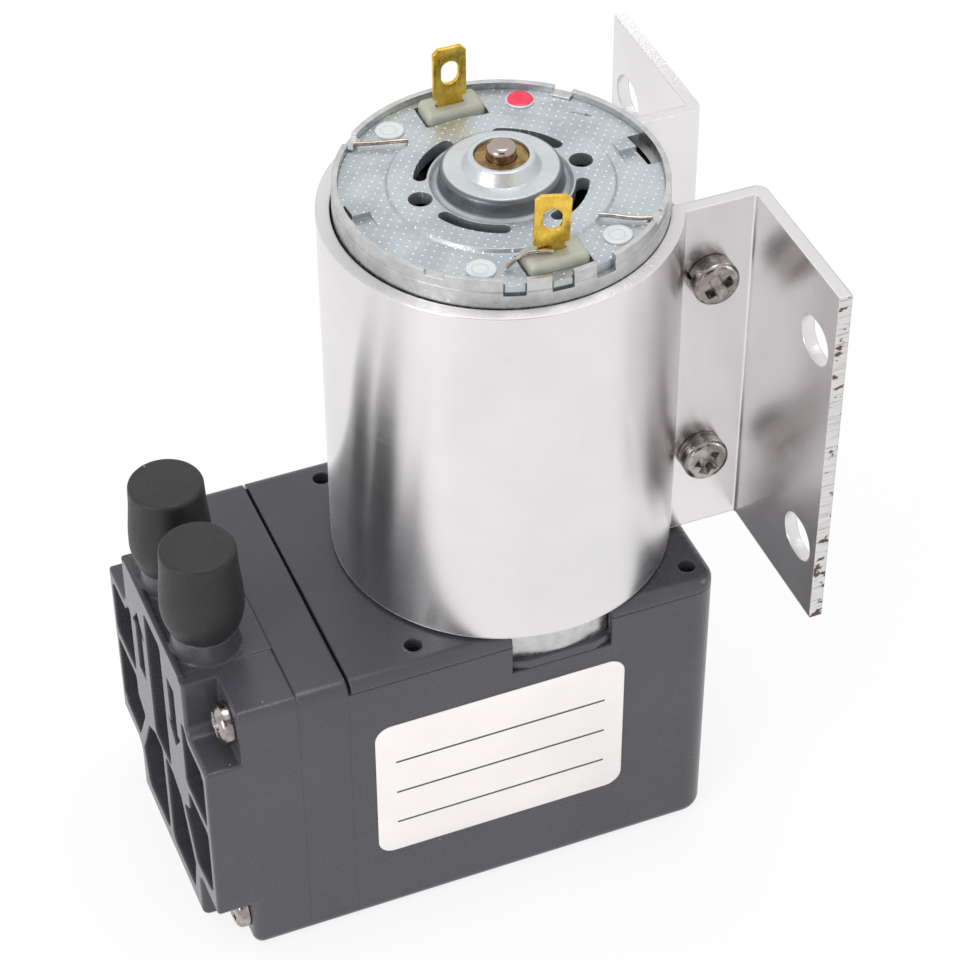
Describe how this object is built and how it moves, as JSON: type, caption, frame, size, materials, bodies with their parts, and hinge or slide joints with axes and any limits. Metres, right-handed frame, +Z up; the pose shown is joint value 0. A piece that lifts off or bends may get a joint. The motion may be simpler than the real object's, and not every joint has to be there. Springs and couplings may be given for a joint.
{
  "type": "mini vacuum pump",
  "caption": "Diaphragm vacuum pump: ribbed plastic head with capped hose nozzles, crankcase, upright DC motor and clamp bracket with slotted flanges.",
  "frame": {"origin": "where the motor's axis meets the flat base of the crankcase", "axes": "+Z up along the motor's axis, +X out through the bracket's mounting flanges, -X towards the pump head, -Y towards the label"},
  "size_m": [0.0698, 0.0564, 0.0959],
  "materials": {
    "body_plastic": "moulded, semi-gloss",
    "cap_rubber": "matt moulded rubber",
    "soft_rubber": "moulded rubber",
    "bright_aluminium": "rolled and polished sheet",
    "can_steel": "drawn steel, dull",
    "cap_steel": "zinc plated pressed steel",
    "ground_steel": "ground steel",
    "nickel_steel": "nickel plated",
    "dark_steel": "oiled spring steel",
    "bronze": "sintered bronze",
    "brass": "stamped sheet brass",
    "copper": "enamelled copper",
    "nylon": "natural nylon, milky",
    "ferrite": "sintered ferrite",
    "carbon": "pressed carbon",
    "tinned_wire": "tinned wire",
    "red_paint": "marking paint",
    "label_film": "white film, blank",
    "drive_zinc": "die-cast",
    "rod_nylon": "glass filled nylon"
  },
  "bodies": {
    "housing": {"crankcase": "body_plastic", "crankcase_lid": "body_plastic", "lid_screws": "nickel_steel", "valve_plate": "body_plastic", "diaphragm": "soft_rubber", "passage_seals": "soft_rubber", "head_cover": "body_plastic", "head_screws": "nickel_steel", "label": "label_film", "motor_can": "can_steel", "motor_end_cap": "cap_steel", "lower_bush": "bronze", "upper_bush": "bronze", "magnets": "ferrite", "magnet_clips": "dark_steel", "brush_holders": "nylon", "brushes": "carbon", "brush_arms": "brass", "terminals": "brass", "lead_stubs": "tinned_wire", "polarity_dot": "red_paint", "motor_screws": "nickel_steel", "bracket": "bright_aluminium", "clamp_screws": "nickel_steel", "spring_washers": "dark_steel", "clamp_nuts": "nickel_steel"},
    "rotor": {"shaft": "ground_steel", "armature_core": "ground_steel", "windings": "copper", "commutator": "copper", "shaft_washers": "nylon", "eccentric": "drive_zinc", "eccentric_set_screw": "dark_steel", "bearing_inner_ring": "ground_steel"},
    "bearing_cage": {"bearing_cage": "rod_nylon", "bearing_balls": "ground_steel"},
    "connecting_rod": {"connecting_rod": "rod_nylon", "bearing_outer_ring": "ground_steel", "diaphragm_clamp_plate": "drive_zinc", "clamp_plate_screw": "nickel_steel"},
    "inlet_cap": {"inlet_cap": "cap_rubber"},
    "outlet_cap": {"outlet_cap": "cap_rubber"},
    "inlet_flap": {"inlet_flap": "soft_rubber"},
    "outlet_flap": {"outlet_flap": "soft_rubber"}
  },
  "joints": [
    {"name": "rotor_spin", "type": "hinge", "parent": "housing", "child": "rotor", "pos_m": [0, 0, 0.06], "axis": [0, 0, 1], "continuous": true, "deforming": ["diaphragm"]},
    {"name": "rod_swing", "type": "hinge", "parent": "rotor", "child": "connecting_rod", "pos_m": [0.0015, 0, 0.01945], "axis": [0, 0, 1], "continuous": true},
    {"name": "cage_roll", "type": "hinge", "parent": "rotor", "child": "bearing_cage", "pos_m": [0.0015, 0, 0.01945], "axis": [0, 0, 1], "continuous": true},
    {"name": "inlet_cap_pull", "type": "slide", "parent": "housing", "child": "inlet_cap", "axis": [0, 0, 1], "range_m": [0, 0.03]},
    {"name": "outlet_cap_pull", "type": "slide", "parent": "housing", "child": "outlet_cap", "axis": [0, 0, 1], "range_m": [0, 0.03]},
    {"name": "inlet_flap_lift", "type": "hinge", "parent": "housing", "child": "inlet_flap", "pos_m": [-0.03005, -0.006, 0.02305], "axis": [0, -1, 0], "range_deg": [0, 7], "stiffness_Nm_per_rad": 0.00001},
    {"name": "outlet_flap_lift", "type": "hinge", "parent": "housing", "child": "outlet_flap", "pos_m": [-0.03195, 0.006, 0.02305], "axis": [0, 1, 0], "range_deg": [0, 12], "stiffness_Nm_per_rad": 0.00001}
  ],
  "couplings": [
    {"joint": "rod_swing", "follows": "rotor_spin", "ratio": -1},
    {"joint": "cage_roll", "follows": "rotor_spin", "ratio": -0.58333}
  ]
}
